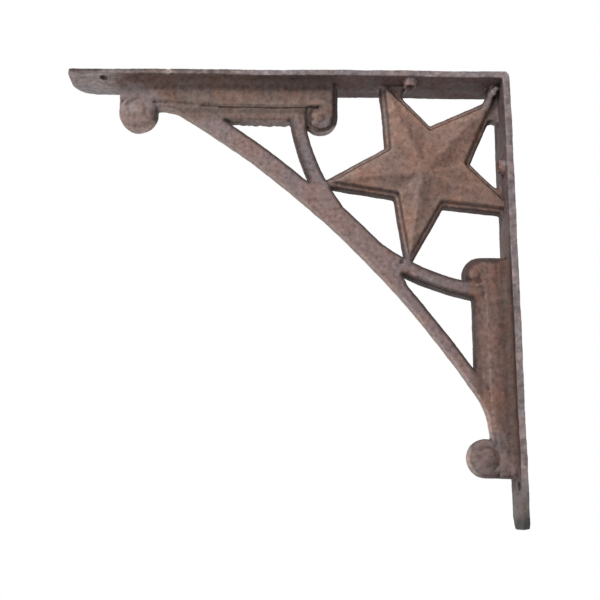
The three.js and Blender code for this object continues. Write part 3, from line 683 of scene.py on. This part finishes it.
# %% Paint the single marks
def near_line(start, end, inner, outer):
    """1 within one distance of a straight line between two places, falling to 0 at another."""
    start = np.array(start)
    along = np.array(end) - start
    share = np.clip((places - start) @ along / (along @ along), 0.0, 1.0)
    return 1 - fade(np.linalg.norm(places - start - share[:, None] * along, axis=1), inner, outer)


SHELF_HOLES = (-53.5, -221.0)
WALL_HOLES = (83.75, -83.75)
HOLES_DEPTH = -8.0
HOLE_WALL = (2.2, 2.6)
LIGHT_SHARE = 0.54

mix_in((116, 92, 83), near_to((-17.3, -5.0, 17.4), 2.2, 4.0))
for hole in SHELF_HOLES:
    outside = fade(np.hypot(x - hole, y - HOLES_DEPTH), *HOLE_WALL)
    mix_in((70, 60, 58), shelf_flange * (1 - outside))
for hole in WALL_HOLES:
    outside = fade(np.hypot(z - hole, y - HOLES_DEPTH), *HOLE_WALL)
    mix_in((50, 41, 39), wall_flange * (1 - outside))
# Painted highlights on the corner lump and the outer corner.
mix_in((156, 144, 142), near_to((-8.0, -6.5, 128.5), 2.0, 4.5) * front)
mix_in((150, 138, 138), fade(x, -9.0, -3.0) * fade(z, 129.0, 134.0) * front)
# Painted highlight on the lump by the outer screw hole.
mix_in((154, 142, 140), near_to((-216.6, -6.5, 132.4), 2.0, 3.6))
# Painted highlight on the ridge below the corner lump.
below_corner = near_line((-11.0, -6.0, 121.5), (-7.5, -6.5, 128.5), 0.8, 2.2)
mix_in((150, 134, 130), 0.45 * below_corner)
on_shelf_flange = near_line((-33.0, -9.0, 131.3), (-20.0, -7.0, 131.3), 0.2, 0.9)
mix_in((128, 112, 108), 0.8 * on_shelf_flange)
# The chip is painted bright, and the pits are painted dark.
for place, radius, _ in PITS:
    mark, share = ((180, 170, 166), 0.8) if place == CHIP else ((70, 56, 53), 0.4)
    mix_in(mark, share * near_to(place, 0.5 * radius, 1.4 * radius))

layer = casting.data.color_attributes.new("iron_colour", "FLOAT_COLOR", "POINT")
four_channels = np.column_stack([LIGHT_SHARE * paint, np.ones(len(paint))]).astype(np.float32)
layer.data.foreach_set("color", four_channels.ravel())
print("colour attribute:", layer.name, "on", len(paint), "corners")

# %% [markdown]
# ## Rusty cast iron
#
# The material starts from the painted colour. Blotches of about a centimetre make it warmer or
# greyer. Patches of about half a centimetre and specks of two or three millimetres make it
# darker or paler.

# %% Start the iron material
material = bpy.data.materials.new("rusty_cast_iron")
material.use_nodes = True
tree = material.node_tree
shader = tree.nodes["Principled BSDF"]
position = tree.nodes.new("ShaderNodeTexCoord").outputs["Object"]


def attribute(name, output="Fac"):
    """What was kept on the mesh under a name."""
    node = tree.nodes.new("ShaderNodeAttribute")
    node.attribute_name = name
    return node.outputs[output]


def cloud(scale, detail, distortion=0.0, place=position):
    """A cloudy pattern in space, about 0.5 on average."""
    node = tree.nodes.new("ShaderNodeTexNoise")
    node.inputs["Scale"].default_value = scale
    node.inputs["Detail"].default_value = detail
    node.inputs["Distortion"].default_value = distortion
    tree.links.new(place, node.inputs["Vector"])
    return node.outputs["Fac"]


def spread(value, low, high, to_low=0.0, to_high=1.0):
    """Spreads a value's range softly over another range."""
    node = tree.nodes.new("ShaderNodeMapRange")
    node.interpolation_type = "SMOOTHSTEP"
    ranges = {"From Min": low, "From Max": high, "To Min": to_low, "To Max": to_high}
    for name, number in ranges.items():
        node.inputs[name].default_value = number
    tree.links.new(value, node.inputs["Value"])
    return node.outputs["Result"]


def tinted(amount, under, tint):
    """Multiplies a colour by a tint, as far as the amount says."""
    node = tree.nodes.new("ShaderNodeMix")
    node.data_type = "RGBA"
    node.blend_type = "MULTIPLY"
    tree.links.new(amount, node.inputs[0])
    tree.links.new(under, node.inputs[6])
    node.inputs[7].default_value = (*tint, 1.0)
    return node.outputs[2]


blotches = cloud(75.0, 4.0, 0.6)
patches = cloud(190.0, 4.0, 0.4)
specks = cloud(420.0, 5.0)
colour = attribute("iron_colour", "Color")
colour = tinted(spread(blotches, 0.44, 0.62), colour, (1.1, 1.0, 0.95))
colour = tinted(spread(blotches, 0.5, 0.36), colour, (0.9, 0.92, 0.95))
colour = tinted(spread(patches, 0.48, 0.36, 0.0, 0.45), colour, (0.78, 0.73, 0.71))
colour = tinted(spread(patches, 0.54, 0.66, 0.0, 0.45), colour, (1.2, 1.19, 1.2))
colour = tinted(spread(specks, 0.5, 0.34, 0.0, 0.9), colour, (0.66, 0.6, 0.57))
colour = tinted(spread(specks, 0.54, 0.68, 0.0, 0.9), colour, (1.36, 1.33, 1.32))
print("mottled colour from", len(tree.nodes), "nodes")

# %% [markdown]
# On top of the mottle, the near edges are chipped pale and dark, and upright streaks run down
# the panels. Rubbed edges are paler where another pattern lets them. Dark rust and painted shade
# fill the small hollows, and painted shade and dirt the broad corners.

# %% Add chips, streaks, rubbed edges and dirt
def times(value, other):
    """A value times another value, or times a number."""
    node = tree.nodes.new("ShaderNodeMath")
    node.operation = "MULTIPLY"
    tree.links.new(value, node.inputs[0])
    if isinstance(other, float):
        node.inputs[1].default_value = other
    else:
        tree.links.new(other, node.inputs[1])
    return node.outputs[0]


near_edge = attribute("near_edge")
chips = cloud(260.0, 4.0)
pale_chips = times(near_edge, spread(chips, 0.55, 0.62, 0.0, 0.8))
colour = tinted(pale_chips, colour, (1.36, 1.38, 1.4))
dark_chips = times(near_edge, spread(chips, 0.45, 0.36, 0.0, 0.7))
colour = tinted(dark_chips, colour, (0.66, 0.62, 0.6))

squashed = tree.nodes.new("ShaderNodeVectorMath")
squashed.operation = "MULTIPLY"
squashed.inputs[1].default_value = (1.0, 1.0, 0.07)
tree.links.new(position, squashed.inputs[0])
streaks = cloud(420.0, 2.0, 0.0, squashed.outputs["Vector"])
streaked = times(attribute("streaked"), spread(streaks, 0.42, 0.6, 0.0, 0.7))
colour = tinted(streaked, colour, (0.8, 0.78, 0.76))

rubbed = times(attribute("rubbed"), spread(cloud(160.0, 4.0), 0.38, 0.6, 0.2, 1.0))
colour = tinted(times(rubbed, 0.7), colour, (1.5, 1.52, 1.56))
# Dark rust and painted shade in the small hollows, painted shade and dirt in the broad corners.
hollow = spread(attribute("fine_bend"), -0.04, -0.2)
colour = tinted(times(hollow, 0.8), colour, (0.36, 0.3, 0.27))
corner_shade_and_dirt = spread(attribute("broad_bend"), -0.02, -0.12)
colour = tinted(times(corner_shade_and_dirt, 0.6), colour, (0.55, 0.48, 0.46))
tree.links.new(colour, shader.inputs["Base Color"])
print("full colour from", len(tree.nodes), "nodes")

# %% [markdown]
# Fine crumbs and the specks give the bump its dry, sandy skin, and the blotches make the gloss
# uneven. The dressed casting then takes the plain solid's place.

# %% Add the bump and the gloss, and replace the solid
def bump(height, strength, distance, under=None):
    """Bends the light by a pattern's height, on top of another bump where one is given."""
    node = tree.nodes.new("ShaderNodeBump")
    node.inputs["Strength"].default_value = strength
    node.inputs["Distance"].default_value = distance
    tree.links.new(height, node.inputs["Height"])
    if under is not None:
        tree.links.new(under, node.inputs["Normal"])
    return node.outputs["Normal"]


crumbs = cloud(900.0, 3.0)
grain = bump(crumbs, strength=0.55, distance=0.00035)
swell = bump(specks, strength=0.5, distance=0.0006, under=grain)
tree.links.new(swell, shader.inputs["Normal"])
tree.links.new(spread(blotches, 0.35, 0.65, 0.62, 0.85), shader.inputs["Roughness"])
shader.inputs["Metallic"].default_value = 0.0
shader.inputs["Specular IOR Level"].default_value = 0.35

casting.data.materials.append(material)
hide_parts("bracket_casting")
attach(casting, "root")
print("material on", casting.name)
